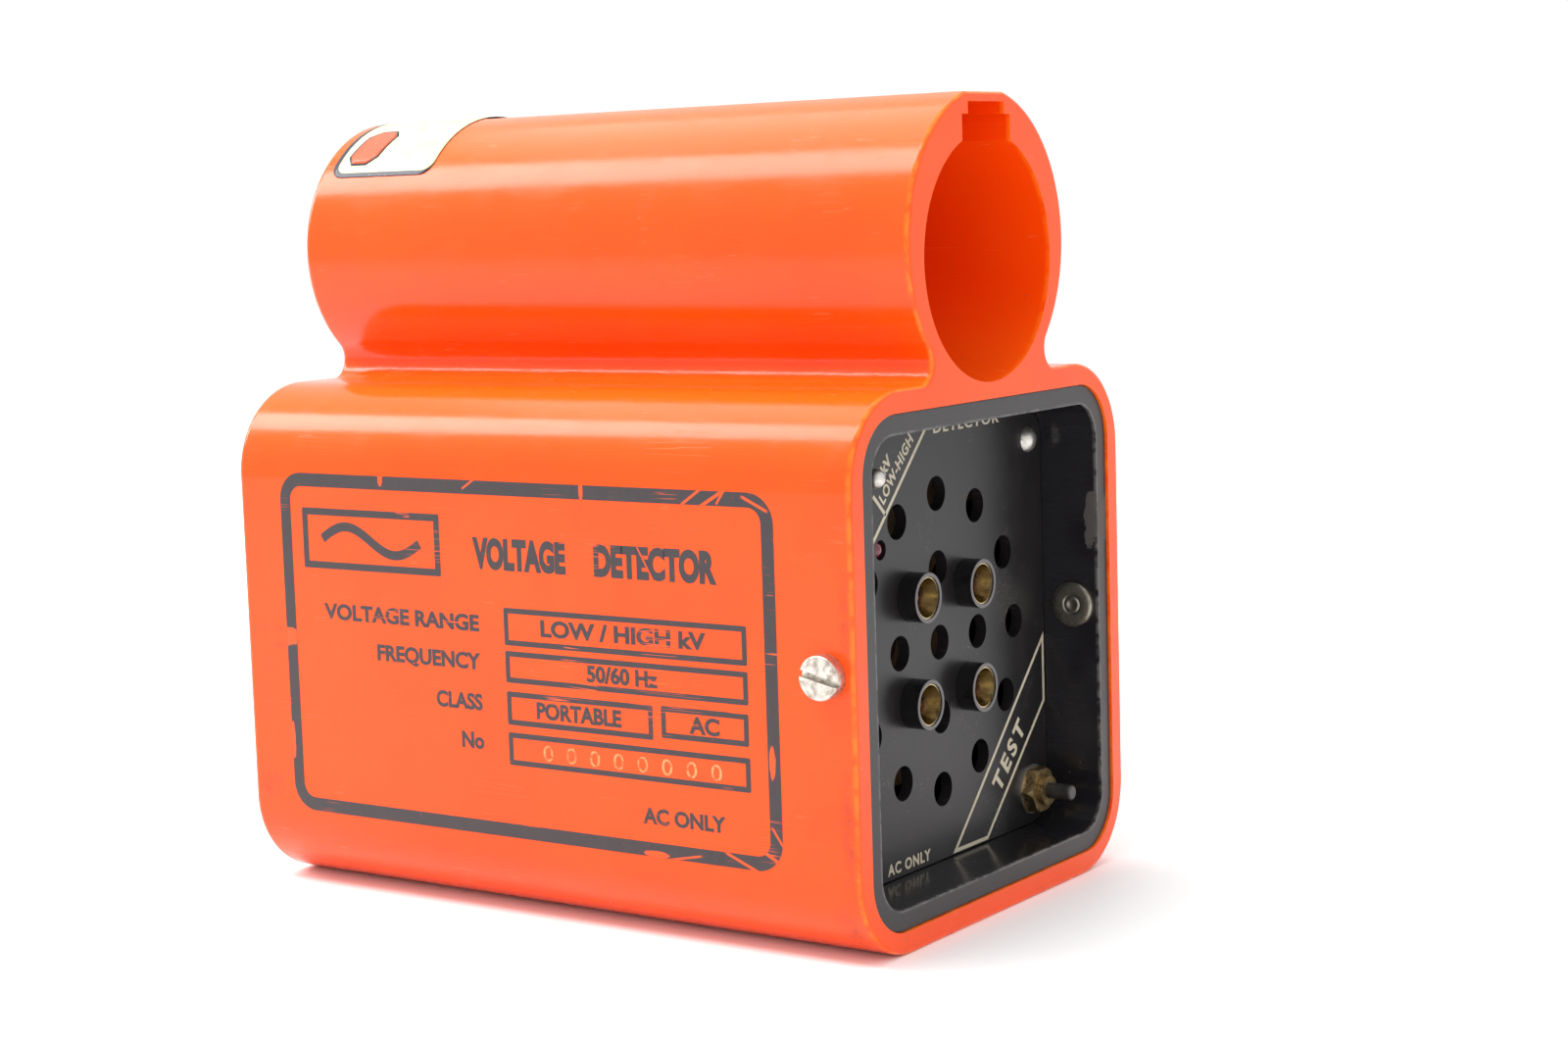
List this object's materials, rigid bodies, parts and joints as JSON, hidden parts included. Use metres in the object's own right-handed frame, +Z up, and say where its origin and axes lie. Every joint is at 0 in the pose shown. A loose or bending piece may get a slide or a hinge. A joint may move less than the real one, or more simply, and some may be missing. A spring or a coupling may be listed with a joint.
{
  "type": "stick-mounted voltage detector head",
  "caption": "Moulded voltage detector head: a tube that slides over a hot stick above a box holding a black electronics module with lamps, sounder holes, range lever and test button.",
  "frame": {"origin": "bottom centre of the head's bounding box", "axes": "+X along the stick tube towards the control panel end, +Y towards the plain side away from the printed face, +Z up with the tube on top"},
  "size_m": [0.1216, 0.0864, 0.1271],
  "materials": {
    "housing_orange": "satin moulded",
    "case_black": "satin moulded",
    "seal_rubber": "soft",
    "panel_charcoal": "fine satin",
    "bright_steel": "nickel plated",
    "gilt_reflector": "bright",
    "lamp_red": "tinted clear",
    "switch_black": "moulded",
    "brass_thread": "machined",
    "button_black": "moulded",
    "spring_steel": "drawn wire",
    "board_phenolic": "phenolic paper",
    "board_green": "solder mask",
    "chip_epoxy": "moulded",
    "capacitor_sleeve": "shrink sleeve",
    "resistor_body": "lacquered",
    "trimmer_blue": "moulded",
    "header_cream": "moulded",
    "battery_jacket": "printed jacket",
    "snap_vinyl": "soft vinyl",
    "plate_copper": "tinned copper",
    "spacer_nylon": "nylon",
    "hood_black": "black coated brass",
    "screw_nickel": "worn nickel",
    "insert_zinc": "dull zinc",
    "lead_red": "pvc",
    "lead_black": "pvc"
  },
  "bodies": {
    "detector": {"battery": "battery_jacket", "battery_lead_black": "lead_black", "battery_lead_red": "lead_red", "battery_snap": "snap_vinyl", "battery_tray": "case_black", "board_screws": "bright_steel", "board_standoffs": "brass_thread", "capacitors": "capacitor_sleeve", "chips": "chip_epoxy", "front_panel": "panel_charcoal", "hood_lower_left": "hood_black", "hood_lower_right": "hood_black", "hood_upper_left": "hood_black", "hood_upper_right": "hood_black", "housing": "housing_orange", "lamp_board": "board_phenolic", "lamp_board_posts": "brass_thread", "lamp_board_screws": "bright_steel", "lamp_lower_left": "lamp_red", "lamp_lower_right": "lamp_red", "lamp_reflectors": "gilt_reflector", "lamp_upper_left": "lamp_red", "lamp_upper_right": "lamp_red", "lead_header": "header_cream", "main_board": "board_green", "module_case": "case_black", "panel_screws": "bright_steel", "plate_spacers": "spacer_nylon", "power_lamp": "lamp_red", "range_switch_body": "switch_black", "range_switch_bushing": "brass_thread", "range_switch_nut": "bright_steel", "range_switch_washer": "bright_steel", "resistors": "resistor_body", "rim_seal": "seal_rubber", "sensing_plate": "plate_copper", "side_insert_left": "insert_zinc", "side_insert_right": "insert_zinc", "side_screw_left": "screw_nickel", "side_screw_right": "screw_nickel", "sounder_back": "switch_black", "sounder_case": "switch_black", "sounder_diaphragm": "brass_thread", "sounder_gasket": "seal_rubber", "test_button_spring": "spring_steel", "test_switch_body": "switch_black", "test_switch_bushing": "brass_thread", "test_switch_nut": "brass_thread", "test_switch_washer": "bright_steel", "trimmer": "trimmer_blue"},
    "range_lever": {"range_lever": "bright_steel"},
    "test_button": {"test_button": "button_black"}
  },
  "joints": [
    {"name": "range_lever_tilt", "type": "hinge", "parent": "detector", "child": "range_lever", "pos_m": [0.05135, -0.028, 0.0709], "axis": [0, 0.7071, -0.7071], "range_deg": [-12, 12]},
    {"name": "test_button_press", "type": "slide", "parent": "detector", "child": "test_button", "axis": [-1, 0, 0], "range_m": [0, 0.0016], "stiffness_N_per_m": 600, "springref_m": -0.001, "deforming": ["test_button_spring"]}
  ]
}
